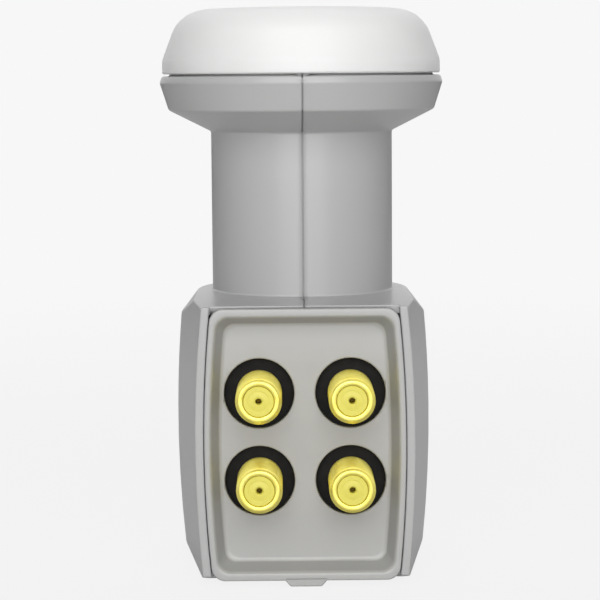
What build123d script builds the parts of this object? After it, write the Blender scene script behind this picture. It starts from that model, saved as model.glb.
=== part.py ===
from build123d import *
import os
from math import radians, sin, tan

# Satellite receiver head with four outputs. The pieces are drawn with z = 0 on the base, the neck axis on
# x = y = 0 and the ports pointing to -y, and are written out with the origin in the middle of the neck.
# All lengths are in millimetres and angles in degrees.

# Body, moulded as two half shells that meet on the centre plane
BODY_H = 58.65         # base to top face
BODY_R = 28.1          # round back, and half the width where the body is widest
BODY_REACH = 38.0      # neck axis to the front edges of the cheeks
CHEEK_TAPER = 8.3      # angle at which each cheek leans in towards the front
BULGE_Z = 29.5         # height at which the cheeks are widest
BULGE_TOP = 1.55       # how far the cheeks draw in at the top
BULGE_BASE = 1.55      # how far the cheeks draw in at the base
SHOULDER_R = 23.2      # half width of the top face where the cheeks stand out past it
SHOULDER_SLANT = 53.0  # angle of the slanted edge from the top face down to the cheeks
BASE_EDGE = 1.5        # chamfer round the base
FRONT_RISE = 2.1       # how far the base slants up at the front
RISE_LENGTH = 8.0      # length of that slant
SHELL_WALL = 2.0
FLOOR_WALL = 3.0
SEAM_W = 0.12          # seam groove, width on each half
SEAM_DEPTH = 0.35

# Neck and flange, part of the half shells
NECK_R = 20.0          # fits the standard 40 mm clamp
NECK_LENGTH = 35.0
CONE_H = 4.7           # underside of the flange
FLANGE_STEP = 0.6      # flange past the cap, where it is widest
FLARE_W = 1.9          # how far the flared side draws in
FLARE_H = 6.0
RIM_EDGE_H = 1.4       # slanted upper edge of the flange
RIM_EDGE_W = 0.5
SPIGOT_WALL = 1.2      # ring that stands up into the cap's skirt

# White cap over the horn
CAP_GAP = 0.45         # shadow gap between flange and cap
CAP_R = 30.6
CAP_SKIRT = 3.0        # upright part of the side
CAP_TOP_R = 26.4       # where the leaning side would meet the top
CAP_H = 14.0
CAP_ROUND = 8.0
CAP_WALL = 1.5
CAP_FIT = 0.1

# Die-cast chassis: horn, waveguide and board box
HORN_FIT = 0.3         # to the shells
HORN_RIM_W = 2.6
HORN_WALL = 2.2
HORN_RINGS = 1
RING_WALL = 1.2
WAVEGUIDE_R = 8.75
WAVEGUIDE_WALL = 2.75
WAVEGUIDE_BACK = 6.0   # closed end below the straight probe
END_WALL = 2.5
BOX_HALF_W = 18.5
BOX_LOW = 5.5
BOX_TOP_GAP = 4.2      # box below the top face
BOX_WALL = 3.0
PLATE_T = 2.0          # wall between board and waveguide
PLATE_STEP = 0.9       # plate face in front of the waveguide wall

# Tray with the sloped recess, between the front edges of the cheeks
TRAY_HALF_W = 20.9     # rim, where it is widest
TRAY_TOP_STEP = 0.4    # rim below the top face
TRAY_LIFT = 1.35       # rim above the base
TRAY_PROUD = 0.6       # rim in front of the cheeks
TRAY_RIM_DEPTH = 2.4
TRAY_RIM_W = 1.2       # face of the rim at the sides
TRAY_RIM_H = 1.6       # face of the rim above and below
TRAY_CORNER = 2.6
TRAY_FIT = 0.12
SLEEVE_STEP = 0.9      # part behind the rim, in from the rim's sides
RECESS_DEPTH = 4.2
RECESS_SLOPE = 24.0    # angle of the recess walls
RECESS_CORNER = 2.0
PANEL_T = 2.0
PORT_HOLE_R = 7.3      # room for a cable plug's nut
TONGUE_W = 10.0
TONGUE_TIP_W = 6.5
TONGUE_T = 1.7
TONGUE_LIFT = 0.1      # tongue above the base

# Ports: F connectors, 3/8 inch thread
PORT_DX = 19.0
PORT_DZ = 18.4
PORT_RISE = 1.625      # middle of the four ports above the middle of the body
PORT_REACH = 11.3      # tip in front of the recess floor
THREAD_R = 4.7625
RELIEF_R = 4.3         # plain neck behind the thread
RELIEF_GAP = 0.3       # from the rubber sheet to the thread
PORT_BORE_R = 3.2
HEX_FLATS = 11.0
HEX_T = 2.6
INSULATOR_FIT = 0.08
INSULATOR_STEP = 0.2   # insulator below the tip
CONTACT_HOLE_R = 0.65
CONTACT_W = 0.8        # square contact
CONTACT_STEP = 2.0     # contact below the insulator face
PORT_GASKET_T = 0.8    # rubber sheet between the hexagons and the tray
PORT_GASKET_FIT = 0.1  # round the plain necks
PORT_GASKET_EDGE = 9.0  # sheet past the port centres

# Lid, gasket, board and what is on it
LID_T = 3.0
GASKET_T = 0.8
BOARD_T = 1.6
BOARD_FIT = 0.3
SCREW_R = 1.0
SCREW_FIT = 0.05
SCREW_HEAD_FLATS = 3.6
SCREW_HEAD_T = 1.4
LID_SCREW_BITE = 6.0
PROBE_R = 0.5
PROBE_FIT = 0.05
PROBE_TAIL = 0.4       # probe past the board's face
BUSH_R = 1.6
PROBE_SPACING = 4.5    # straight probe below the bent one
STRAIGHT_PROBE_TIP = 3.5   # tip in front of the waveguide axis
BENT_PROBE_DROP = 7.95  # below the top of the board box
BENT_PROBE_X = 5.0
BENT_PROBE_TIP = 0.6   # tip beside the waveguide axis
TRANSISTOR_W = 2.0
TRANSISTOR_H = 1.3
TRANSISTOR_STEP = 3.5  # from a probe to its transistor, and from that to the next
CHIP_T = 0.9
CONVERTER_W = 5.0
CONVERTER_DROP = 5.55  # below the straight probe
SWITCH_W = 7.0
SWITCH_DROP = 4.0      # below the middle of the ports
CRYSTAL_W = 3.2
CRYSTAL_H = 2.5
CRYSTAL_X = 5.0
CRYSTAL_RISE = 1.5
REGULATOR_W = 4.5
REGULATOR_H = 2.6
REGULATOR_T = 1.5
REGULATOR_X = 6.0
REGULATOR_Z = 12.8
CROSS_PIN_DROP = 2.3   # below the bent probe
CROSS_PIN_R = 0.7
CROSS_PIN_FIT = 0.02

# Heights that follow from these
neck_top = BODY_H + NECK_LENGTH
cone_top = neck_top + CONE_H
flare_top = cone_top + FLARE_H
flange_top = flare_top + RIM_EDGE_H
cap_base = flange_top + CAP_GAP
spigot_top = cap_base + CAP_SKIRT - CAP_FIT
cap_top = cap_base + CAP_H
horn_base = cone_top + SHELL_WALL + HORN_FIT
box_high = BODY_H - BOX_TOP_GAP
port_z = BODY_H / 2 + PORT_RISE
bent_probe_z = box_high - BENT_PROBE_DROP
straight_probe_z = bent_probe_z - PROBE_SPACING
cross_pin_z = bent_probe_z - CROSS_PIN_DROP
waveguide_end = straight_probe_z - WAVEGUIDE_BACK
origin_z = BODY_H + NECK_LENGTH / 2

# Radii of the pieces that fit inside one another
flange_r = CAP_R + FLANGE_STEP
foot_r = flange_r - FLARE_W
spigot_r = CAP_R - CAP_WALL - CAP_FIT
flange_bore_r = spigot_r - SPIGOT_WALL
horn_r = flange_bore_r - HORN_FIT
neck_bore_r = NECK_R - SHELL_WALL
tube_r = WAVEGUIDE_R + WAVEGUIDE_WALL

# Places along the front, from the tray's rim back to the waveguide
rim_front = -BODY_REACH - TRAY_PROUD
rim_back = rim_front + TRAY_RIM_DEPTH
panel_front = rim_front + RECESS_DEPTH
panel_back = panel_front + PANEL_T
tip_front = panel_front - PORT_REACH
hex_front = panel_back + PORT_GASKET_T
thread_back = panel_back - RELIEF_GAP
lid_front = hex_front + HEX_T
lid_back = lid_front + LID_T
box_front = lid_back + GASKET_T
plate_front = -tube_r - PLATE_STEP
board_front = plate_front - BOARD_T

# Larger than the whole object, for cutting
BEYOND = 200.0


def turned(section):
    """Solid of a half section (x outwards, y up) turned about the neck axis."""
    return revolve(Plane.XZ * section, Axis.Z, 360)


def half_turned(section):
    """The same, turned through the half on the +x side."""
    return revolve(Rot(0, 0, -90) * (Plane.XZ * section), Axis.Z, 180)


def outline(*points):
    return make_face(Polyline(*points, close=True))


def rectangle(x_low, x_high, y_low, y_high):
    return outline((x_low, y_low), (x_high, y_low), (x_high, y_high), (x_low, y_high))


def block(x_low, x_high, y_low, y_high, z_low, z_high):
    size = Box(x_high - x_low, y_high - y_low, z_high - z_low, align=(Align.MIN, Align.MIN, Align.MIN))
    return Pos(x_low, y_low, z_low) * size


def forward(section, y_back, y_front):
    """Solid of a section (x, z) pushed from y_back forward to y_front."""
    return extrude(Plane.XZ.offset(-y_back) * section, y_back - y_front)


def rod(x, z, radius, y_back, y_front):
    return forward(Pos(x, z) * Circle(radius), y_back, y_front)


def hexagon(x, z, flats, y_back, y_front):
    shape = RegularPolygon(flats / 2, 6, major_radius=False)
    return forward(Pos(x, z) * shape, y_back, y_front)


def bulge(z):
    """How far the cheeks draw in at height z, from where they are widest."""
    if z > BULGE_Z:
        return BULGE_TOP * ((z - BULGE_Z) / (BODY_H - BULGE_Z)) ** 2
    return BULGE_BASE * ((BULGE_Z - z) / BULGE_Z) ** 2


def side_arc(half_width, z_low, z_high):
    """Curved side line that follows the cheeks' bulge."""
    low = (half_width - bulge(z_low), z_low)
    high = (half_width - bulge(z_high), z_high)
    return ThreePointArc(low, (half_width, BULGE_Z), high)


def barrel(half_width, z_low, z_high):
    """Upright outline with straight ends and two bulging sides."""
    right = side_arc(half_width, z_low, z_high)
    left = mirror(right, Plane.YZ)
    return make_face([right, left, Line(right @ 0, left @ 0), Line(right @ 1, left @ 1)])


def body_section(inset):
    """Half section of the body from the neck axis to a cheek, set in from its outside."""
    side = side_arc(BODY_R - inset, BASE_EDGE, BODY_H - inset)
    base_edge = ((side @ 0).X - BASE_EDGE, inset)
    rest = Polyline(side @ 1, (0, BODY_H - inset), (0, inset), base_edge, side @ 0)
    return make_face([side, rest])


def room_section():
    """Half section of the room inside the body."""
    side = side_arc(BODY_R - SHELL_WALL, FLOOR_WALL, BODY_H - SHELL_WALL)
    rest = Polyline(side @ 1, (0, BODY_H - SHELL_WALL), (0, FLOOR_WALL), side @ 0)
    return make_face([side, rest])


def above_shoulder(inset):
    """What the slanted edge takes off the body on the +x side, set in from the outside."""
    start = SHOULDER_R - inset / sin(radians(SHOULDER_SLANT))
    end = start + BODY_R
    low = BODY_H - BODY_R * tan(radians(SHOULDER_SLANT))
    corner = outline((start, BODY_H), (end, BODY_H), (end, low))
    back = revolve(Plane.XZ * corner, Axis.Z, 90)
    return back + extrude(Plane.XZ * corner, 2 * BODY_REACH)


def half_body(section, inset):
    """Round back and straight, tapering cheek on the +x side, under the slanted edge."""
    face = Rot(0, 0, -CHEEK_TAPER) * (Plane.XZ * section)
    back = revolve(face, Axis.Z, 90 + CHEEK_TAPER)
    cheek = extrude(face, 2 * BODY_REACH)
    return back + cheek - above_shoulder(inset)


def half_neck(inset):
    """Neck, flange and spigot on the +x side, solid, set in from their outside."""
    section = outline(
        (0, BODY_H - SHELL_WALL),
        (NECK_R - inset, BODY_H - SHELL_WALL),
        (NECK_R - inset, neck_top),
        (foot_r - inset, cone_top),
        (flange_r - inset, flare_top),
        (flange_r - RIM_EDGE_W - inset, flange_top),
        (spigot_r - inset, flange_top),
        (spigot_r - inset, spigot_top),
        (0, spigot_top),
    )
    return half_turned(section)


def half_bore():
    """Room inside the neck and flange on the +x side."""
    section = outline(
        (0, BODY_H - 2 * SHELL_WALL),
        (neck_bore_r, BODY_H - 2 * SHELL_WALL),
        (neck_bore_r, neck_top + SHELL_WALL),
        (flange_bore_r, cone_top + SHELL_WALL),
        (flange_bore_r, BEYOND),
        (0, BEYOND),
    )
    return half_turned(section)


def right_shell():
    """Half the flange, half the neck and the right cheek, with half of the seam groove."""
    front = -BODY_REACH
    outside = half_body(body_section(0), 0) + half_neck(0)
    groove_floor = half_body(body_section(SEAM_DEPTH), SEAM_DEPTH) + half_neck(SEAM_DEPTH)
    shell = outside & block(SEAM_W, BEYOND, front, BEYOND, 0, BEYOND)
    shell += groove_floor & block(0, SEAM_W, front, BEYOND, 0, BEYOND)
    shell -= half_body(room_section(), SHELL_WALL) + half_bore()

    # The tray's rim sits in front of the top and the floor, between the cheeks
    opening = barrel(TRAY_HALF_W + TRAY_FIT, 0, BODY_H)
    shell -= forward(opening, rim_back + TRAY_FIT, rim_front)

    # The base slants up towards the front
    slant = outline(
        (front + RISE_LENGTH, 0),
        (front, FRONT_RISE),
        (front, -FRONT_RISE),
    )
    shell -= extrude(Plane.YZ * slant, BEYOND)
    return shell


def horn_cap():
    """Thin moulded cap: upright skirt, leaning side, rounded shoulder and flat top."""
    corner = (CAP_TOP_R, cap_top)
    outside = outline((0, cap_base), (CAP_R, cap_base), (CAP_R, cap_base + CAP_SKIRT), corner, (0, cap_top))
    outside = fillet(outside.vertices().sort_by_distance(corner)[0], CAP_ROUND)
    inside_r = CAP_R - CAP_WALL
    inside = outline(
        (0, cap_base),
        (inside_r, cap_base),
        (inside_r, cap_base + CAP_SKIRT),
        (CAP_TOP_R - CAP_ROUND / 2, cap_top - CAP_WALL),
        (0, cap_top - CAP_WALL),
    )
    return turned(outside - inside)


def ported_places():
    """Port centres (x, z): upper left, upper right, lower left, lower right."""
    return [(x, port_z + dz) for dz in (PORT_DZ / 2, -PORT_DZ / 2) for x in (-PORT_DX / 2, PORT_DX / 2)]


def lid_screw_places():
    x = BOX_HALF_W - BOX_WALL / 2
    return [(side * x, z) for z in (BOX_LOW + BOX_WALL / 2, box_high - BOX_WALL / 2) for side in (-1, 1)]


def board_screw_places():
    x = BOX_HALF_W - BOX_WALL - 2 * SCREW_HEAD_T
    z_low = BOX_LOW + BOX_WALL + 2 * SCREW_HEAD_T
    z_high = box_high - BOX_WALL - 2 * SCREW_HEAD_T
    return [(side * x, z) for z in (z_low, z_high) for side in (-1, 1)]


def cast_chassis():
    """Ringed horn, waveguide tube with a closed end, and board box in one casting."""
    rim_in = horn_r - HORN_RIM_W
    horn_floor = horn_base + HORN_WALL
    section = outline(
        (0, waveguide_end - END_WALL),
        (tube_r, waveguide_end - END_WALL),
        (tube_r, horn_base),
        (horn_r, horn_base),
        (horn_r, spigot_top),
        (rim_in, spigot_top),
        (rim_in, horn_floor),
        (WAVEGUIDE_R, horn_floor),
        (WAVEGUIDE_R, waveguide_end),
        (0, waveguide_end),
    )
    pitch = (rim_in - WAVEGUIDE_R) / (HORN_RINGS + 1)
    for i in range(HORN_RINGS):
        r = WAVEGUIDE_R + pitch * (i + 1)
        top = spigot_top - (HORN_RINGS - i) * RING_WALL
        section += rectangle(r - RING_WALL, r, horn_base, top)
    chassis = turned(section)

    box = block(-BOX_HALF_W, BOX_HALF_W, box_front, plate_front + PLATE_T, BOX_LOW, box_high)
    room_half_w = BOX_HALF_W - BOX_WALL
    room = block(-room_half_w, room_half_w, box_front, plate_front, BOX_LOW + BOX_WALL, box_high - BOX_WALL)
    waveguide = Pos(0, 0, waveguide_end) * Cylinder(
        WAVEGUIDE_R, neck_top - waveguide_end, align=(Align.CENTER, Align.CENTER, Align.MIN)
    )
    chassis += box - room
    chassis -= waveguide

    for x, z in lid_screw_places():
        chassis -= rod(x, z, SCREW_R + SCREW_FIT, box_front + LID_SCREW_BITE, box_front)
    for x, z in board_screw_places():
        chassis -= rod(x, z, SCREW_R + SCREW_FIT, plate_front + PLATE_T, plate_front)
    chassis -= rod(0, straight_probe_z, BUSH_R + PROBE_FIT, 0, plate_front)
    chassis -= rod(-BENT_PROBE_X, bent_probe_z, BUSH_R + PROBE_FIT, 0, plate_front)
    cross_hole = Circle(CROSS_PIN_R + CROSS_PIN_FIT)
    chassis -= extrude(Plane.YZ * (Pos(0, cross_pin_z) * cross_hole), tube_r + PLATE_STEP, both=True)
    return chassis


def recess_outline(depth):
    """Outline of the recess at a depth behind the rim's face."""
    draw_in = depth * tan(radians(RECESS_SLOPE))
    z_low = TRAY_LIFT + TRAY_RIM_H + draw_in
    z_high = BODY_H - TRAY_TOP_STEP - TRAY_RIM_H - draw_in
    shape = barrel(TRAY_HALF_W - TRAY_RIM_W - draw_in, z_low, z_high)
    return fillet(shape.vertices(), RECESS_CORNER)


def connector_tray():
    """Rim between the cheeks, sloped recess with four holes, and a tongue under the lower edge."""
    rim_shape = barrel(TRAY_HALF_W, TRAY_LIFT, BODY_H - TRAY_TOP_STEP)
    tray = forward(fillet(rim_shape.vertices(), TRAY_CORNER), rim_back, rim_front)

    sleeve_low = FLOOR_WALL + TRAY_FIT
    sleeve_high = BODY_H - SHELL_WALL - TRAY_FIT
    tray += forward(barrel(TRAY_HALF_W - SLEEVE_STEP, sleeve_low, sleeve_high), panel_back, rim_back)

    mouth = Plane.XZ.offset(-rim_front) * recess_outline(0)
    floor = Plane.XZ.offset(-panel_front) * recess_outline(RECESS_DEPTH)
    tray -= loft([mouth, floor], ruled=True)
    for x, z in ported_places():
        tray -= rod(x, z, PORT_HOLE_R, panel_back, panel_front)

    tongue = outline(
        (-TONGUE_TIP_W / 2, TONGUE_LIFT),
        (TONGUE_TIP_W / 2, TONGUE_LIFT),
        (TONGUE_W / 2, TRAY_LIFT + TRAY_RIM_H / 2),
        (-TONGUE_W / 2, TRAY_LIFT + TRAY_RIM_H / 2),
    )
    return tray + forward(tongue, rim_front + TONGUE_T, rim_front)


def port_body(x, z):
    """Connector body: hexagon on the lid, plain neck, threaded barrel and open bore."""
    body = hexagon(x, z, HEX_FLATS, lid_front, hex_front)
    body += rod(x, z, RELIEF_R, hex_front, thread_back)
    body += rod(x, z, THREAD_R, thread_back, tip_front)
    return body - rod(x, z, PORT_BORE_R, lid_front, tip_front)


def port_insulator(x, z):
    """Insulating core that runs from the tip through the lid."""
    core = rod(x, z, PORT_BORE_R - INSULATOR_FIT, lid_back, tip_front + INSULATOR_STEP)
    return core - rod(x, z, CONTACT_HOLE_R, lid_back, tip_front)


def port_contact(x, z):
    """Square inner contact from inside the insulator to the board."""
    face = Pos(x, z) * Rectangle(CONTACT_W, CONTACT_W)
    return forward(face, plate_front, tip_front + INSULATOR_STEP + CONTACT_STEP)


def port_gasket():
    """Black rubber sheet between the connectors' hexagons and the tray, seen through the tray's holes."""
    half_w = PORT_DX / 2 + PORT_GASKET_EDGE
    half_h = PORT_DZ / 2 + PORT_GASKET_EDGE
    sheet = forward(rectangle(-half_w, half_w, port_z - half_h, port_z + half_h), hex_front, panel_back)
    for x, z in ported_places():
        sheet -= rod(x, z, RELIEF_R + PORT_GASKET_FIT, hex_front, panel_back)
    return sheet


def lid_frame(y_back, y_front):
    return forward(rectangle(-BOX_HALF_W, BOX_HALF_W, BOX_LOW, box_high), y_back, y_front)


def shield_lid():
    """Metal lid of the board box, which carries the ports."""
    lid = lid_frame(lid_back, lid_front)
    for x, z in ported_places():
        lid -= rod(x, z, PORT_BORE_R, lid_back, lid_front)
    for x, z in lid_screw_places():
        lid -= rod(x, z, SCREW_R + SCREW_FIT, lid_back, lid_front)
    return lid


def lid_gasket():
    """Rubber frame between lid and box."""
    half_w = BOX_HALF_W - BOX_WALL
    window = rectangle(-half_w, half_w, BOX_LOW + BOX_WALL, box_high - BOX_WALL)
    gasket = lid_frame(box_front, lid_back) - forward(window, box_front, lid_back)
    for x, z in lid_screw_places():
        gasket -= rod(x, z, SCREW_R + SCREW_FIT, box_front, lid_back)
    return gasket


def screw(x, z, seat, bite):
    """Hexagon-head screw with its head in front of the seat."""
    head = hexagon(x, z, SCREW_HEAD_FLATS, seat, seat - SCREW_HEAD_T)
    return head + rod(x, z, SCREW_R, seat + bite, seat)


def lid_screws():
    length = LID_T + GASKET_T + LID_SCREW_BITE - SCREW_FIT
    return [screw(x, z, lid_front, length) for x, z in lid_screw_places()]


def board_screws():
    length = BOARD_T + PLATE_T
    return [screw(x, z, board_front, length) for x, z in board_screw_places()]


def circuit_board():
    """Board on the plate in front of the waveguide, with holes for screws, probes and contacts."""
    half_w = BOX_HALF_W - BOX_WALL - BOARD_FIT
    z_low = BOX_LOW + BOX_WALL + BOARD_FIT
    z_high = box_high - BOX_WALL - BOARD_FIT
    board = block(-half_w, half_w, board_front, plate_front, z_low, z_high)
    for x, z in board_screw_places():
        board -= rod(x, z, SCREW_R + SCREW_FIT, plate_front, board_front)
    for x, z in [(0, straight_probe_z), (-BENT_PROBE_X, bent_probe_z)]:
        board -= rod(x, z, PROBE_R + PROBE_FIT, plate_front, board_front)
    slot = CONTACT_W + 2 * SCREW_FIT
    for x, z in ported_places():
        board -= forward(Pos(x, z) * Rectangle(slot, slot), plate_front, board_front)
    return board


def straight_probe():
    return rod(0, straight_probe_z, PROBE_R, -STRAIGHT_PROBE_TIP, board_front - PROBE_TAIL)


def bent_probe():
    """Pin that enters like the straight one and turns across the waveguide."""
    start = (-BENT_PROBE_X, board_front - PROBE_TAIL, bent_probe_z)
    corner = (-BENT_PROBE_X, 0, bent_probe_z)
    end = (-BENT_PROBE_TIP, 0, bent_probe_z)
    path = Polyline(start, corner, end)
    return sweep(Plane(start, z_dir=(0, 1, 0)) * Circle(PROBE_R), path=path, transition=Transition.RIGHT)


def probe_bush(x, z):
    """Insulating bush through the plate and the waveguide wall, cut to the waveguide's bore."""
    bush = rod(x, z, BUSH_R, 0, plate_front) - rod(x, z, PROBE_R + PROBE_FIT, 0, plate_front)
    return bush - Pos(0, 0, z) * Cylinder(WAVEGUIDE_R, 4 * BUSH_R)


def reflector_pin():
    face = Pos(0, cross_pin_z) * Circle(CROSS_PIN_R)
    return extrude(Plane.YZ * face, tube_r, both=True)


def board_part(x, z, width, height, thickness):
    face = Pos(x, z) * Rectangle(width, height)
    return forward(face, board_front, board_front - thickness)


def low_noise_transistors():
    """Two stages beside each probe."""
    first = TRANSISTOR_STEP
    second = 2 * TRANSISTOR_STEP
    places = [(first, straight_probe_z), (second, straight_probe_z)]
    places += [(-BENT_PROBE_X - first, bent_probe_z), (-BENT_PROBE_X + first, bent_probe_z)]
    return [board_part(x, z, TRANSISTOR_W, TRANSISTOR_H, CHIP_T) for x, z in places]


def regulators():
    places = [(-REGULATOR_X, REGULATOR_Z), (REGULATOR_X, REGULATOR_Z)]
    return [board_part(x, z, REGULATOR_W, REGULATOR_H, REGULATOR_T) for x, z in places]


def pieces():
    """Every piece by name: a solid, or a list of the separate solids of a group."""
    right = right_shell()
    found = {
        "horn_cap": horn_cap(),
        "right_shell": right,
        "left_shell": mirror(right, Plane.YZ),
        "cast_chassis": cast_chassis(),
        "connector_tray": connector_tray(),
        "port_gasket": port_gasket(),
        "shield_lid": shield_lid(),
        "lid_gasket": lid_gasket(),
        "lid_screws": lid_screws(),
        "circuit_board": circuit_board(),
        "board_screws": board_screws(),
        "straight_probe": straight_probe(),
        "bent_probe": bent_probe(),
        "straight_probe_bush": probe_bush(0, straight_probe_z),
        "bent_probe_bush": probe_bush(-BENT_PROBE_X, bent_probe_z),
        "reflector_pin": reflector_pin(),
        "low_noise_transistors": low_noise_transistors(),
        "converter_chip": board_part(0, straight_probe_z - CONVERTER_DROP, CONVERTER_W, CONVERTER_W, CHIP_T),
        "switch_chip": board_part(0, port_z - SWITCH_DROP, SWITCH_W, SWITCH_W, CHIP_T),
        "crystal": board_part(CRYSTAL_X, port_z + CRYSTAL_RISE, CRYSTAL_W, CRYSTAL_H, CHIP_T),
        "regulators": regulators(),
    }
    for number, (x, z) in enumerate(ported_places(), 1):
        found[f"port_{number}_body"] = port_body(x, z)
        found[f"port_{number}_insulator"] = port_insulator(x, z)
        found[f"port_{number}_contact"] = port_contact(x, z)
    return found


os.makedirs("parts", exist_ok=True)
down = Pos(0, 0, -origin_z)
for name, piece in pieces().items():
    if isinstance(piece, list):
        shape = Compound(children=[down * solid for solid in piece])
    else:
        shape = down * piece
    export_step(shape, f"parts/{name}.step")
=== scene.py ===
from math import cos, pi, radians, sin

import bmesh
import bpy
from mathutils import Matrix, Vector


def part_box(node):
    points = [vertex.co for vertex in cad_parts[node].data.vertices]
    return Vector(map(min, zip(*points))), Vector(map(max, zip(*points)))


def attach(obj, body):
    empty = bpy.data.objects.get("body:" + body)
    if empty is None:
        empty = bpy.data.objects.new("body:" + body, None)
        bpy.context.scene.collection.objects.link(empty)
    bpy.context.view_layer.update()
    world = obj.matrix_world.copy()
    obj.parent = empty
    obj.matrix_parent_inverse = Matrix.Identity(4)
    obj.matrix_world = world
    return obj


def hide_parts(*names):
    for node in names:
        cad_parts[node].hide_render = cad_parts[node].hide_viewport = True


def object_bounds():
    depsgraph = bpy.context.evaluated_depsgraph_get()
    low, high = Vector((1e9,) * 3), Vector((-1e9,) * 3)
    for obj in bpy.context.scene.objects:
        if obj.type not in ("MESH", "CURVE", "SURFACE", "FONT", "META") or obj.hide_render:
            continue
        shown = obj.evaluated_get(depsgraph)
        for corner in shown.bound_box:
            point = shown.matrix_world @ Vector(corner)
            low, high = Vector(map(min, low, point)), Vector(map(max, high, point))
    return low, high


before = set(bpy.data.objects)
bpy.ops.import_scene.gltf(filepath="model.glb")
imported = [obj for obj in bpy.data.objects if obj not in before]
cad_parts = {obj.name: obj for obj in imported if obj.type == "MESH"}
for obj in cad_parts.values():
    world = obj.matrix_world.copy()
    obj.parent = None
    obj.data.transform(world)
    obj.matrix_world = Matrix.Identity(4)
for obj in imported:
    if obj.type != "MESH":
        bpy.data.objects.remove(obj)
cad_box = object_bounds()


# Chassis and lid of the board box: pressure die-cast zinc-aluminium, left as it comes out of the die,
# so it is grey, a little mottled and slightly rough. The chassis is horn, waveguide and box in one piece.
MM = 0.001
CAST_SKIN = 0.03 * MM


class Wire:
    """An output of a material's node tree. Sums on it add Math nodes; node() adds any other node."""

    def __init__(self, tree, socket=None):
        self.tree = tree
        self.socket = socket

    def node(self, kind, inputs=None, output=0, **settings):
        made = self.tree.nodes.new(kind)
        for name, value in settings.items():
            setattr(made, name, value)
        for name, value in (inputs or {}).items():
            if isinstance(value, Wire):
                self.tree.links.new(value.socket, made.inputs[name])
            else:
                made.inputs[name].default_value = value
        return Wire(self.tree, made.outputs[output])

    def sum(self, operation, first, second):
        return self.node("ShaderNodeMath", {0: first, 1: second}, operation=operation)

    def __add__(self, other):
        return self.sum("ADD", self, other)

    def __rsub__(self, other):
        return self.sum("SUBTRACT", other, self)

    def __mul__(self, other):
        return self.sum("MULTIPLY", self, other)

    __radd__ = __add__
    __rmul__ = __mul__

    def clamped(self, low, high):
        return self.node("ShaderNodeClamp", {"Value": self, "Min": low, "Max": high})

    def between(self, start, end):
        """0 below start, 1 above end."""
        places = {"Value": self, "From Min": start, "From Max": end}
        return self.node("ShaderNodeMapRange", places, interpolation_type="SMOOTHSTEP")

    def colours(self, low, high):
        """Mix of two colours by this value."""
        ends = {0: self, 6: low, 7: high}
        return self.node("ShaderNodeMix", ends, output=2, data_type="RGBA")

    def grain(self, scale, detail=2.0, where=None):
        """Noise from 0 to 1 on Object coordinates, scale in cells per metre."""
        place = where or self.node("ShaderNodeTexCoord", output="Object")
        return self.node("ShaderNodeTexNoise", {"Vector": place, "Scale": scale, "Detail": detail})

    def bump(self, height, depth):
        """Normal of a surface whose height runs from 0 to depth metres."""
        return self.node("ShaderNodeBump", {"Height": height, "Distance": depth, "Strength": 1.0})


def srgb(red, green, blue):
    """Linear colour of display values from 0 to 255."""
    linear = [c / 255 / 12.92 if c < 11 else ((c / 255 + 0.055) / 1.055) ** 2.4 for c in (red, green, blue)]
    return (*linear, 1.0)


def finish(name, build, **constants):
    """Material with one Principled shader; build takes the blank wire and gives the varying sockets."""
    material = bpy.data.materials.new(name)
    material.use_nodes = True
    tree = material.node_tree
    shader = tree.nodes["Principled BSDF"]
    for socket, value in constants.items():
        shader.inputs[socket.replace("_", " ")].default_value = value
    for socket, wire in build(Wire(tree)).items():
        tree.links.new(wire.socket, shader.inputs[socket])
    return material


def dress(node, material):
    """Gives a CAD node its finish."""
    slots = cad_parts[node].data.materials
    slots.clear()
    slots.append(material)


def casting(blank):
    mottle = blank.grain(220, 4.0)
    skin = blank.grain(2600, 2.0)
    return {
        "Base Color": mottle.between(0.3, 0.7).colours(srgb(166, 168, 170), srgb(190, 191, 192)),
        "Roughness": 0.42 + 0.2 * skin,
        "Normal": blank.bump(skin, CAST_SKIN),
    }


die_cast = finish("die_cast", casting, Metallic=1.0)
dress("cast_chassis", die_cast)
dress("shield_lid", die_cast)


# Screws of the board and the lid: hexagon-head machine screws, zinc-plated steel with a faint grain
# from the cutting of the head. They hold the board to the plate and the lid to the box.
def plated(blank):
    grain = blank.grain(900, 3.0)
    return {
        "Base Color": grain.colours(srgb(176, 178, 180), srgb(206, 207, 205)),
        "Roughness": 0.26 + 0.16 * grain,
    }


zinc = finish("zinc_plate", plated, Metallic=1.0)
for node in ("board_screws", "lid_screws"):
    dress(node, zinc)


# Circuit board: glass-fibre sheet with green solder resist over copper runs, and the low-noise
# transistors, converter, switch, regulators and crystal can soldered to it.
COPPER_STEP = 0.03 * MM
EPOXY_GRAIN = 0.01 * MM


def resist(blank):
    place = blank.node("ShaderNodeTexCoord", output="Object")
    runs = blank.node("ShaderNodeTexVoronoi", {"Vector": place, "Scale": 420.0}, output="Distance",
                      distance="CHEBYCHEV")
    copper = runs.between(0.42, 0.46)
    return {
        "Base Color": copper.colours(srgb(20, 74, 44), srgb(38, 104, 62)),
        "Roughness": 0.3 + 0.15 * blank.grain(1500),
        "Normal": blank.bump(copper, COPPER_STEP),
    }


dress("circuit_board", finish("solder_resist", resist))


def epoxy(blank):
    grain = blank.grain(6000, 2.0)
    return {
        "Base Color": grain.colours(srgb(26, 26, 27), srgb(40, 40, 41)),
        "Roughness": 0.5 + 0.2 * grain,
        "Normal": blank.bump(grain, EPOXY_GRAIN),
    }


black_epoxy = finish("black_epoxy", epoxy)
for node in ("low_noise_transistors", "converter_chip", "switch_chip", "regulators"):
    dress(node, black_epoxy)
dress("crystal", zinc)


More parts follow.
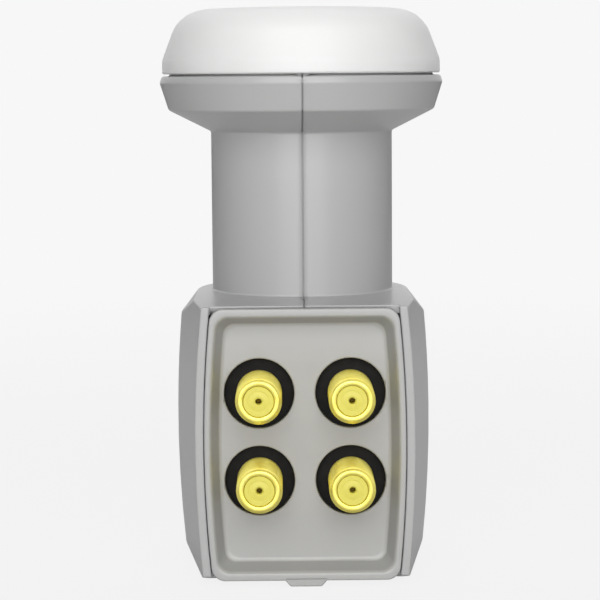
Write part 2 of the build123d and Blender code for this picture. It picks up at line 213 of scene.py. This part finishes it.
# Aerial pins and cross pin: drawn brass wire with a thin gold flash, marked lengthways
# by the drawing die. The two aerial pins stand in bushes of white fluoropolymer.
def drawn(blank):
    streak = blank.grain(1800, 3.0)
    return {
        "Base Color": streak.colours(srgb(206, 172, 92), srgb(226, 196, 118)),
        "Roughness": 0.22 + 0.14 * streak,
    }


gold_flash = finish("gold_flash", drawn, Metallic=1.0)
for node in ("straight_probe", "bent_probe", "reflector_pin"):
    dress(node, gold_flash)


def waxy(blank):
    cloud = blank.grain(700, 3.0)
    return {
        "Base Color": cloud.colours(srgb(232, 232, 226), srgb(244, 244, 240)),
        "Roughness": 0.42 + 0.12 * cloud,
    }


fluoropolymer = finish("fluoropolymer", waxy)
for node in ("straight_probe_bush", "bent_probe_bush"):
    dress(node, fluoropolymer)


# Black moulded rubber: a sheet between the ports and the tray, seen as a dark ring round each port, which is
# painted shade standing for the shade deep in the holes round the ports; and the cord-like frame under the
# lid. Matt, with a dusty bloom.
RUBBER_PORES = 0.02 * MM


def rubber_and_hole_shade(blank):
    bloom = blank.grain(500, 4.0)
    pores = blank.grain(5200, 2.0)
    return {
        "Base Color": bloom.between(0.35, 0.75).colours(srgb(13, 12, 12), srgb(24, 23, 22)),
        "Roughness": 0.6 + 0.2 * pores,
        "Normal": blank.bump(pores, RUBBER_PORES),
    }


rubber_and_painted_hole_shade = finish("rubber_and_painted_hole_shade", rubber_and_hole_shade, Specular_IOR_Level=0.25)
# The port gasket is painted shade: a black sheet that stands for the shade inside the holes round the ports.
for node in ("port_gasket", "lid_gasket"):
    dress(node, rubber_and_painted_hole_shade)


# Ports: F connectors turned from brass hexagon bar and plated yellow. A hexagon sits on the lid, the barrel
# carries a 3/8 inch thread of 32 turns per inch, and the tip is chamfered round an open bore.
PORTS = ("port_1", "port_2", "port_3", "port_4")
HEXAGON_T = 2.6 * MM
HEXAGON_EDGE = 0.2 * MM
THREAD_R = 4.7625 * MM
THREAD_PITCH = 25.4 * MM / 32
THREAD_DEPTH = 0.36 * MM
THREAD_RELIEF = 1.5 * MM
THREAD_RUNOUT = 0.1 * MM
THREAD_STEPS = 40
RIDGE_HALF = 0.44 * THREAD_PITCH
CREST_HALF = 0.09 * THREAD_PITCH
CREST_DROP = 0.04 * MM
RIDGE_SINK = 0.05 * MM
TURNED_STEPS = 72
TIP_CHAMFER = 0.45 * MM
TIP_LEAN = 0.27 * MM
TIP_ROUND = 0.12 * MM
TIP_FALL = 0.048 * MM
CREST_FALL = 0.036 * MM
BORE_FIT = 0.08 * MM
BORE_EDGE = 0.3 * MM
TURNING_MARKS = 0.006 * MM


def place_mesh(name, bm, material, replaced):
    """Object of a finished bmesh, in the root body, in place of a CAD node."""
    mesh = bpy.data.meshes.new(name)
    bm.to_mesh(mesh)
    bm.free()
    mesh.materials.append(material)
    piece = bpy.data.objects.new(name, mesh)
    bpy.context.scene.collection.objects.link(piece)
    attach(piece, "root")
    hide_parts(replaced)
    return piece


def lathe(bm, profile, steps):
    """Line of (radius, height) points turned about Z. It runs from axis to axis, or else closes to a ring."""
    verts = [bm.verts.new((r, 0, h)) for r, h in profile]
    edges = [bm.edges.new((a, b)) for a, b in zip(verts, verts[1:])]
    if profile[0][0] > 0:
        edges.append(bm.edges.new((verts[-1], verts[0])))
    bmesh.ops.spin(bm, geom=verts + edges, cent=(0, 0, 0), axis=(0, 0, 1), angle=2 * pi, steps=steps,
                   use_merge=True, use_duplicate=False)
    bmesh.ops.remove_doubles(bm, verts=bm.verts, dist=0.001 * MM)


def facing_front(x, y, z):
    """Puts a piece turned about +Z on a port's axis, its +Z end to the front."""
    return Matrix.Translation((x, y, z)) @ Matrix.Rotation(pi / 2, 4, "X")


def port_axis(node):
    low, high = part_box(node)
    return (low.x + high.x) / 2, low.y, high.y, (low.z + high.z) / 2


def port_body(node):
    x, tip, foot, z = port_axis(node)
    core_low, core_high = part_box(node.replace("body", "insulator"))
    bore = (core_high.x - core_low.x) / 2 + BORE_FIT
    root = THREAD_R - THREAD_DEPTH
    face = foot - tip
    low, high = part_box(node)
    flats = (high.z - low.z) / 2
    bm = bmesh.new()

    # Barrel with a rounded, chamfered tip and the bore's countersink
    tip_r = root - TIP_LEAN
    lathe(bm, [
        (bore, 0), (root, 0), (root, face - TIP_CHAMFER), (tip_r, face - TIP_FALL),
        (tip_r - TIP_ROUND, face), (bore + BORE_EDGE, face), (bore + BORE_EDGE / 3, face - BORE_EDGE / 3),
        (bore, face - BORE_EDGE),
    ], TURNED_STEPS)

    # Thread ridge, wound up the barrel and cut down by the chamfer
    start = HEXAGON_T + THREAD_RELIEF
    turns = int((face - start - THREAD_RUNOUT) / THREAD_PITCH)
    foot_r = root - RIDGE_SINK
    crest_r = THREAD_R - CREST_DROP
    ridge = [
        (foot_r, -RIDGE_HALF), (crest_r, -CREST_HALF), (THREAD_R, 0.0), (crest_r, CREST_HALF),
        (foot_r, RIDGE_HALF),
    ]
    corners = [bm.verts.new((r, 0, start + h)) for r, h in ridge]
    cut = bm.faces.new(corners)
    bmesh.ops.spin(
        bm, geom=[cut] + list(cut.edges) + corners, cent=(0, 0, 0), axis=(0, 0, 1), angle=2 * pi * turns,
        steps=THREAD_STEPS * turns, dvec=(0, 0, THREAD_PITCH / THREAD_STEPS), use_duplicate=False)
    for vert in bm.verts:
        radius = vert.co.xy.length
        limit = THREAD_R - max(0.0, vert.co.z - (face - TIP_CHAMFER))
        if radius > limit and vert.co.z > start:
            vert.co.xy *= limit / radius
            vert.co.z = min(vert.co.z, face - CREST_FALL)

    # Hexagon with its rims broken
    corner_r = flats / cos(radians(30))
    prism = bmesh.ops.create_cone(bm, cap_ends=True, segments=6, radius1=corner_r, radius2=corner_r,
                                  depth=HEXAGON_T, matrix=Matrix.Translation((0, 0, HEXAGON_T / 2)))
    around = {e for v in prism["verts"] for e in v.link_edges}
    rims = [e for e in around if abs(e.verts[0].co.z - e.verts[1].co.z) < HEXAGON_T / 2]
    bmesh.ops.bevel(bm, geom=rims, offset=HEXAGON_EDGE, offset_type="OFFSET", segments=2, profile=0.5,
                    affect="EDGES", material=-1)
    bmesh.ops.recalc_face_normals(bm, faces=bm.faces)
    bmesh.ops.transform(bm, matrix=facing_front(x, foot, z), verts=bm.verts)
    return bm


def plating(blank):
    place = blank.node("ShaderNodeTexCoord", output="Object")
    tarnish = blank.grain(500, 4.0)
    turning = blank.grain(1.0, 3.0, where=blank.node(
        "ShaderNodeMapping", {"Vector": place, "Scale": (900.0, 5200.0, 900.0)}))
    return {
        "Base Color": tarnish.between(0.25, 0.8).colours(srgb(238, 223, 104), srgb(247, 236, 132)),
        "Roughness": 0.34 + 0.16 * turning,
        "Normal": blank.bump(turning, TURNING_MARKS),
    }


yellow_plate = finish("yellow_plate", plating, Metallic=0.85)
for port in PORTS:
    node = f"{port}_body"
    barrel = place_mesh(f"{port}_threaded", port_body(node), yellow_plate, node)
    barrel.data.shade_smooth()
    barrel.data.set_sharp_from_angle(angle=radians(28))


# Port insulators: turned plugs of yellowish plastic pressed into the barrels, with a shallow ring on the
# face and a countersunk hole for the cable's core. The square contact of dull bronze waits inside.
CORE_HOLE_R = 0.65 * MM
CORE_EDGE = 0.12 * MM
CORE_RING = (1.65 * MM, 2.25 * MM)
RING_SLOPE = 0.1 * MM
RING_DEPTH = 0.06 * MM
MIDDLE_DEPTH = 0.02 * MM
HOLE_EDGE = 0.3 * MM
CORE_SKIN = 0.006 * MM


def port_core(node):
    x, tip, foot, z = port_axis(node)
    low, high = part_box(node)
    radius = (high.x - low.x) / 2
    face = foot - tip
    ring = face - RING_DEPTH
    middle = face - MIDDLE_DEPTH
    ring_in, ring_out = CORE_RING
    bm = bmesh.new()
    lathe(bm, [
        (CORE_HOLE_R, 0), (radius, 0), (radius, face - CORE_EDGE), (radius - CORE_EDGE, face),
        (ring_out, face), (ring_out - RING_SLOPE, ring), (ring_in + RING_SLOPE, ring), (ring_in, middle),
        (CORE_HOLE_R + HOLE_EDGE, middle), (CORE_HOLE_R, face - HOLE_EDGE),
    ], TURNED_STEPS)
    bmesh.ops.recalc_face_normals(bm, faces=bm.faces)
    bmesh.ops.transform(bm, matrix=facing_front(x, foot, z), verts=bm.verts)
    return bm


def tinted_plastic(blank):
    cloud = blank.grain(900, 3.0)
    return {
        "Base Color": cloud.colours(srgb(223, 213, 88), srgb(232, 223, 105)),
        "Roughness": 0.36 + 0.15 * cloud,
        "Normal": blank.bump(blank.grain(7000), CORE_SKIN),
    }


def sprung_bronze(blank):
    streak = blank.grain(2400, 3.0)
    return {
        "Base Color": streak.colours(srgb(84, 66, 22), srgb(104, 84, 34)),
        "Roughness": 0.45 + 0.15 * streak,
    }


yellow_core = finish("yellow_core", tinted_plastic)
dull_bronze = finish("dull_bronze", sprung_bronze, Metallic=1.0)
for port in PORTS:
    node = f"{port}_insulator"
    core = place_mesh(f"{port}_core", port_core(node), yellow_core, node)
    core.data.shade_smooth()
    core.data.set_sharp_from_angle(angle=radians(25))
    dress(f"{port}_contact", dull_bronze)


# Connector tray: injection-moulded grey plastic, a rim round a sloped recess whose flat floor has four round
# holes, with a tongue under the lower edge. It is clipped between the shells, and the mould rounds its edges.
TRAY_EDGE = 0.35 * MM
ROUND_MIDDLE = 0.3
TRAY_RIM = (1.2 * MM, 1.6 * MM)
SLEEVE_STEP = (0.9 * MM, 1.75 * MM)
RIM_DEPTH = 2.4 * MM
RECESS_DEPTH = 4.2 * MM
RECESS_DRAW = 1.87 * MM
SIDE_BULGE = 1.55 * MM
BULGE_HEIGHT = -46.65 * MM
TRAY_CORNER = 2.6 * MM
CORNER_STEPS = 8
SIDE_CUTS = 15
END_ZONE = 0.01 * MM
PORT_HOLE_R = 7.3 * MM
TONGUE = ((-5 * MM, 2.15 * MM), (5 * MM, 2.15 * MM), (3.25 * MM, 0.1 * MM), (-3.25 * MM, 0.1 * MM))
TONGUE_T = 1.7 * MM
# Painted shade on the recess walls: the share of the grey taken off them.
WALL_SHADE_PAINTED = 0.26
SPARK_DEPTH = 0.012 * MM


def tray_loop(bm, low, high):
    """Closed outline of the rim in its back plane: bulging sides, straight ends and round corners."""
    ends = ((low.x, low.z), (high.x, low.z), (high.x, high.z), (low.x, high.z))
    face = bm.faces.new([bm.verts.new((x, 0, z)) for x, z in ends])
    sides = [e for e in face.edges if e.verts[0].co.x == e.verts[1].co.x]
    bmesh.ops.subdivide_edges(bm, edges=sides, cuts=SIDE_CUTS)
    corners = [v for v in bm.verts if min(abs(v.co.z - low.z), abs(v.co.z - high.z)) < END_ZONE]
    reach = max(high.z - BULGE_HEIGHT, BULGE_HEIGHT - low.z)
    for vert in bm.verts:
        drawn_in = SIDE_BULGE * ((vert.co.z - BULGE_HEIGHT) / reach) ** 2
        vert.co.x -= drawn_in if vert.co.x > 0 else -drawn_in
    bmesh.ops.bevel(bm, geom=corners, offset=TRAY_CORNER, offset_type="OFFSET", segments=CORNER_STEPS,
                    profile=0.5, affect="VERTICES", material=-1)
    bmesh.ops.delete(bm, geom=bm.faces[:], context="FACES_KEEP_BOUNDARY")
    return bm.edges[:]


def next_loop(bm, edges):
    """Copy of a loop of edges that faces join to the first."""
    grown = bmesh.ops.extrude_edge_only(bm, edges=edges)["geom"]
    return [e for e in grown if isinstance(e, bmesh.types.BMEdge)]


def corners_of(edges):
    return {v for e in edges for v in e.verts}


def ported_recess():
    low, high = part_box("connector_tray")
    front, back = low.y, high.y
    tongue_top, tongue_tip = TONGUE[0][1], TONGUE[2][1]
    low.z += tongue_top - TRAY_RIM[1] / 2 - tongue_tip
    middle = (low + high) / 2
    half_w, half_h = (high.x - low.x) / 2, (high.z - low.z) / 2
    bm = bmesh.new()
    outline = tray_loop(bm, low, high)
    rim_back = front + RIM_DEPTH
    floor = front + RECESS_DEPTH
    edge = TRAY_EDGE
    soft = ROUND_MIDDLE * edge
    slope = RECESS_DRAW / RECESS_DEPTH

    # Steps of the section, from the back of the sleeve round the rim and down the recess: sideways, up, depth
    wide, tall = TRAY_RIM
    section = [
        (*SLEEVE_STEP, back), (*SLEEVE_STEP, rim_back), (0, 0, rim_back), (0, 0, front + edge),
        (soft, soft, front + soft), (edge, edge, front), (wide - edge, tall - edge, front),
        (wide - soft, tall - soft, front + soft),
    ]
    section += [(wide + d * slope, tall + d * slope, front + d) for d in (edge, RECESS_DEPTH - 2 * edge)]
    foot_w, foot_h = wide + RECESS_DRAW, tall + RECESS_DRAW
    section += [(foot_w + d, foot_h + d, depth) for d, depth in ((soft, floor - soft), (2 * edge, floor))]

    loops = [outline]
    for _ in section[1:]:
        loops.append(next_loop(bm, loops[-1]))
    for loop, (sideways, up, depth) in zip(loops, section):
        scale = Vector(((half_w - sideways) / half_w, 1, (half_h - up) / half_h))
        for vert in corners_of(loop):
            vert.co = (vert.co - middle) * scale + middle
            vert.co.y = depth

    # Holes with a softened front edge, through to the back
    rims, ends = [], []
    for port in PORTS:
        x, _, _, z = port_axis(f"{port}_body")
        ring = bmesh.ops.create_circle(bm, segments=TURNED_STEPS, radius=PORT_HOLE_R + edge,
                                       matrix=facing_front(x, floor, z))["verts"]
        rim = list({e for v in ring for e in v.link_edges})
        last = rim
        steps = ((PORT_HOLE_R + soft, floor + soft), (PORT_HOLE_R, floor + edge), (PORT_HOLE_R, back))
        for radius, depth in steps:
            last = next_loop(bm, last)
            for vert in corners_of(last):
                spoke = Vector((vert.co.x - x, 0, vert.co.z - z)).normalized()
                vert.co = Vector((x, depth, z)) + spoke * radius
        rims += rim
        ends += last
    bmesh.ops.triangle_fill(bm, use_beauty=True, edges=loops[-1] + rims)
    bmesh.ops.triangle_fill(bm, use_beauty=True, edges=loops[0] + ends)

    # Tongue
    lift = low.z - tongue_top + TRAY_RIM[1] / 2
    tongue = [bm.verts.new((x, front, z + lift)) for x, z in TONGUE]
    tip = bm.faces.new(tongue)
    grown = bmesh.ops.extrude_face_region(bm, geom=[tip], use_keep_orig=True)["geom"]
    deep = [v for v in grown if isinstance(v, bmesh.types.BMVert)]
    bmesh.ops.translate(bm, vec=(0, TONGUE_T, 0), verts=deep)
    around = {e for v in tongue + deep for e in v.link_edges}
    bmesh.ops.bevel(bm, geom=list(around), offset=edge, offset_type="OFFSET", segments=3, profile=0.5,
                    affect="EDGES", material=-1)
    bmesh.ops.recalc_face_normals(bm, faces=bm.faces)
    return bm


def grey_moulding(tone, painted_shade=None):
    """Light grey plastic with the fine sparked texture of its mould and a little weathering; a shade
    function, if given, paints shade into its grey.
    """
    def build(blank):
        cloud = blank.grain(60, 3.0)
        texture = blank.grain(3600, 2.0)
        shade = 0.985 + 0.03 * cloud + 0.02 * texture
        # Painted shade: the grey is scaled down where the given function paints shade.
        if painted_shade:
            shade = shade * painted_shade(blank)
        grey = blank.node("ShaderNodeVectorMath", {0: srgb(*tone)[:3], "Scale": shade}, operation="SCALE")
        return {
            "Base Color": grey,
            "Roughness": 0.26 + 0.08 * texture,
            "Normal": blank.bump(texture, SPARK_DEPTH),
        }
    return build


def flat_faces(piece):
    """Smooth shading in which large faces stay flat and only their rounded edges turn."""
    piece.data.shade_smooth()
    piece.modifiers.new("flat_faces", "WEIGHTED_NORMAL").keep_sharp = True


def painted_wall_shade(blank):
    """Share of the tone that is left: less on the recess's sloped walls, where shade is painted into the
    grey.
    """
    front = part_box("connector_tray")[0].y
    floor = front + RECESS_DEPTH
    place = blank.node("ShaderNodeTexCoord", output="Object")
    depth = blank.node("ShaderNodeSeparateXYZ", {"Vector": place}, output="Y")
    begun = depth.between(front + TRAY_EDGE, front + 3 * TRAY_EDGE)
    over = depth.between(floor - 2 * TRAY_EDGE, floor - 0.5 * TRAY_EDGE)
    return 1 - WALL_SHADE_PAINTED * begun * (1 - over)


# The recess's sloped walls get painted shade: their grey is darkened to stand for the shade that falls on
# them.
tray_grey = finish("tray_grey", grey_moulding((180, 180, 179), painted_wall_shade), Specular_IOR_Level=0.5)
flat_faces(place_mesh("recess_tray", ported_recess(), tray_grey, "connector_tray"))


# Half shells: injection-moulded light grey plastic, each half the flange, half the neck and one cheek of the
# body. They are welded on the centre plane, where a fine groove shows, and the mould rounds their edges.
SHELL_EDGE = 0.4 * MM
SHELL_EDGE_ANGLE = radians(24)
SAME_PLANE = radians(1.0)
SAME_POINT = 0.002 * MM
SEAM_HALF = 0.2 * MM
SEAM_DEEPER = 0.6 * MM
SEAM_ZONE = 0.3 * MM
SEAM_MIDDLE = 0.05 * MM
SEAM_MERGE = 0.01 * MM
GROOVE_SIDE = 0.5
BODY_TOP = -18.5 * MM
CAVITY = Vector((0, -16.4, -46.35)) * MM
CAVITY_HALF = Vector((22.6, 20, 27.05)) * MM


def hidden_inside(edge):
    """True in the body's cavity, behind the tray, where the edges are left as moulded."""
    return all(abs(a) < b for v in edge.verts for a, b in zip(v.co - CAVITY, CAVITY_HALF))


def half_shell(node):
    bm = bmesh.new()
    bm.from_mesh(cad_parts[node].data)
    bmesh.ops.remove_doubles(bm, verts=bm.verts, dist=SAME_POINT)
    bmesh.ops.dissolve_limit(bm, angle_limit=SAME_PLANE, verts=bm.verts, edges=bm.edges)
    bmesh.ops.connect_verts_concave(bm, faces=bm.faces)

    # Sides of the seam groove, set out to its full width
    outwards = 1 if node == "right_shell" else -1
    for vert in bm.verts:
        if SEAM_MIDDLE < abs(vert.co.x) < SEAM_HALF:
            vert.co.x = outwards * SEAM_HALF
    bmesh.ops.remove_doubles(bm, verts=bm.verts, dist=SEAM_MERGE)

    # Floor of the seam groove, let down so that the groove stays dark
    bm.normal_update()
    inwards = {}
    for face in bm.faces:
        far, near = (pick(abs(v.co.x) for v in face.verts) for pick in (max, min))
        if abs(face.normal.x) < GROOVE_SIDE and far < SEAM_ZONE and near < SEAM_MIDDLE:
            for vert in face.verts:
                inwards[vert] = inwards.get(vert, Vector()) - face.normal
    for vert, way in inwards.items():
        vert.co += way.normalized() * SEAM_DEEPER

    # Rounds on the edges that show, and sharp edges along the groove
    sharp = [e for e in bm.edges if len(e.link_faces) == 2 and e.calc_face_angle() > SHELL_EDGE_ANGLE]
    for edge in sharp:
        edge.smooth = any(abs(v.co.x) > SEAM_ZONE for v in edge.verts)
    outside = [e for e in sharp if e.smooth and not hidden_inside(e)]
    outside = [e for e in outside if e.is_convex or min(v.co.z for v in e.verts) > BODY_TOP]
    bmesh.ops.bevel(bm, geom=outside, offset=SHELL_EDGE, offset_type="OFFSET", segments=3,
                    profile=0.5, affect="EDGES", material=-1)
    bmesh.ops.dissolve_degenerate(bm, dist=SAME_POINT, edges=bm.edges)
    return bm


shell_grey = finish("shell_grey", grey_moulding((180, 180, 180)), Specular_IOR_Level=0.5)
for side in ("left", "right"):
    node = f"{side}_shell"
    flat_faces(place_mesh(f"{side}_half", half_shell(node), shell_grey, node))


# Horn cap: thin white moulded cover, pressed over the horn's rim. It lets the signal through and keeps the
# rain out, so it is smooth and closed, with an upright skirt and a well-rounded shoulder.
CAP_SKIRT = 3.0 * MM
CAP_WALL = 1.5 * MM
CAP_LIP = 0.3 * MM
SKIRT_EDGE = 0.4 * MM
CAP_TOP_R = 26.4 * MM
CAP_BEND = 8.0 * MM
BEND_STEPS = 12
CAP_STEPS = 160
CAP_SKIN = 0.006 * MM


def horn_cover():
    low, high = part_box("horn_cap")
    outer = (high.x - low.x) / 2
    inner = outer - CAP_WALL
    base, top = low.z, high.z
    under = top - CAP_WALL
    hip = Vector((outer, base + CAP_SKIRT))
    corner = Vector((CAP_TOP_R, top))
    lean = (corner - hip).normalized()
    turn = lean.angle(Vector((-1, 0)))
    reach = CAP_BEND / cos(turn / 2) * sin(turn / 2)
    first = corner - lean * reach
    centre = Vector((CAP_TOP_R - reach, top - CAP_BEND))

    # Inside from the axis down to the mouth, round the lip, up the skirt and the lean, over the shoulder
    profile = [(0, under), (CAP_TOP_R - CAP_BEND / 2, under), (inner, hip.y), (inner, base)]
    profile += [(outer - CAP_LIP, base), (outer, base + CAP_LIP), (outer, hip.y - SKIRT_EDGE)]
    profile.append(tuple(hip + lean * SKIRT_EDGE))
    begin = (first - centre).angle(Vector((1, 0)))
    for i in range(BEND_STEPS + 1):
        a = begin + (pi / 2 - begin) * i / BEND_STEPS
        profile.append((centre.x + CAP_BEND * cos(a), centre.y + CAP_BEND * sin(a)))
    profile += [(centre.x / 2, top), (0, top)]
    bm = bmesh.new()
    lathe(bm, profile, CAP_STEPS)
    bmesh.ops.recalc_face_normals(bm, faces=bm.faces)
    return bm


def white_moulding(blank):
    cloud = blank.grain(45, 3.0)
    texture = blank.grain(4200, 2.0)
    return {
        "Base Color": (0.6 * cloud + 0.4 * texture).colours(srgb(238, 238, 237), srgb(243, 243, 242)),
        "Roughness": 0.32 + 0.1 * texture,
        "Normal": blank.bump(texture, CAP_SKIN),
    }


cap_white = finish("cap_white", white_moulding, Specular_IOR_Level=0.35, Subsurface_Weight=0.4,
                   Subsurface_Scale=4 * MM, Subsurface_Radius=(1.0, 1.0, 1.0))
cover = place_mesh("horn_cover", horn_cover(), cap_white, "horn_cap")
cover.data.shade_smooth()
cover.data.set_sharp_from_angle(angle=radians(30))


# Studio: a pale paper floor just under the base and a white surround, as in a catalogue picture. The floor
# still takes the soft shadow of the head. A wide soft box lights the front, and a high one the top and back.
SURROUND_LIGHT = 0.035
SEEN_LIGHT = 0.93
FLOOR_HALF = 4.0
FLOOR_GAP = 0.05 * MM
FLOOR_GLOW = 0.92
FLOOR_FADE = (0.12, 0.6)
MIRRORED_GLOW = 0.2
MIRRORED_FADE = (0.2, 0.7)
FRONT_BOX = {"size": 1.2, "watts": 12.9, "place": (0.0, -0.93, 0.36)}
BACK_BOX = {"size": 0.7, "watts": 5.0, "place": (0.0, 0.6, 0.8)}


def seen_by(blank, *kinds):
    """1 for rays of these kinds, 0 for light that falls on the head."""
    path = blank.node("ShaderNodeLightPath").socket.node
    rays = [Wire(blank.tree, path.outputs[f"Is {kind} Ray"]) for kind in kinds]
    return sum(rays[1:], rays[0]).clamped(0.0, 1.0)


world = bpy.data.worlds.new("studio")
bpy.context.scene.world = world
world.use_nodes = True
sky = world.node_tree.nodes["Background"]
sky.inputs["Color"].default_value = (1, 1, 1, 1)
seen = seen_by(Wire(world.node_tree), "Camera", "Glossy", "Transmission")
strength = SURROUND_LIGHT + (SEEN_LIGHT - SURROUND_LIGHT) * seen
world.node_tree.links.new(strength.socket, sky.inputs["Strength"])

floor_bm = bmesh.new()
bmesh.ops.create_grid(floor_bm, x_segments=1, y_segments=1, size=FLOOR_HALF,
                      matrix=Matrix.Translation((0, 0, cad_box[0][2] - FLOOR_GAP)))
floor_mesh = bpy.data.meshes.new("floor")
floor_bm.to_mesh(floor_mesh)
floor_bm.free()
floor = bpy.data.objects.new("floor", floor_mesh)
bpy.context.scene.collection.objects.link(floor)

paper = bpy.data.materials.new("paper")
paper.use_nodes = True
blank = Wire(paper.node_tree)
matt = paper.node_tree.nodes["Principled BSDF"]
matt.inputs["Roughness"].default_value = 0.9
tone = blank.grain(40, 3.0).colours(srgb(206, 206, 206), srgb(212, 212, 212))
paper.node_tree.links.new(tone.socket, matt.inputs["Base Color"])
glow = blank.node("ShaderNodeEmission", {"Color": (1, 1, 1, 1), "Strength": SEEN_LIGHT})
spot = blank.node("ShaderNodeTexCoord", output="Object")
away = blank.node("ShaderNodeVectorMath", {0: spot}, output="Value", operation="LENGTH")
share = FLOOR_GLOW + (1 - FLOOR_GLOW) * away.between(*FLOOR_FADE)
mirrored = MIRRORED_GLOW * (1 - away.between(*MIRRORED_FADE))
white = share * seen_by(blank, "Camera", "Transmission") + mirrored * seen_by(blank, "Glossy")
lit = blank.node("ShaderNodeMixShader", {0: white, 1: Wire(blank.tree, matt.outputs[0]), 2: glow})
paper.node_tree.links.new(lit.socket, paper.node_tree.nodes["Material Output"].inputs["Surface"])
floor_mesh.materials.append(paper)


def soft_box(name, size, watts, place):
    """Square lamp turned to the middle of the neck."""
    box = bpy.data.lights.new(name, "AREA")
    box.shape = "SQUARE"
    box.size = size
    box.energy = watts
    lamp = bpy.data.objects.new(name, box)
    lamp.location = place
    lamp.rotation_euler = (-lamp.location).to_track_quat("-Z", "Y").to_euler()
    bpy.context.scene.collection.objects.link(lamp)
    return lamp


soft_box("front_box", **FRONT_BOX)
soft_box("back_box", **BACK_BOX).visible_glossy = False


# Camera: a little under half a metre in front of the ports, level with the cap's lower edge and looking
# slightly down, with a long lens. Place and turns are those of the picture that the head is matched to.
CAMERA_PLACE = Vector((-4.07, -455, 29.8)) * MM
CAMERA_PAN = radians(-0.438)
CAMERA_DIP = radians(6.285)
CAMERA_ROLL = radians(-0.434)
SENSOR_MM = 36.0
LENS_MM = 122.82
lens = bpy.data.cameras.new("camera")
lens.sensor_width = SENSOR_MM
lens.lens = LENS_MM
lens.clip_start = 10 * MM
camera = bpy.data.objects.new("camera", lens)
camera.matrix_world = (
    Matrix.Translation(CAMERA_PLACE)
    @ Matrix.Rotation(CAMERA_PAN, 4, "Z")
    @ Matrix.Rotation(pi / 2 - CAMERA_DIP, 4, "X")
    @ Matrix.Rotation(CAMERA_ROLL, 4, "Z")
)
bpy.context.scene.collection.objects.link(camera)
bpy.context.scene.camera = camera
bpy.context.scene.view_settings.view_transform = "Standard"
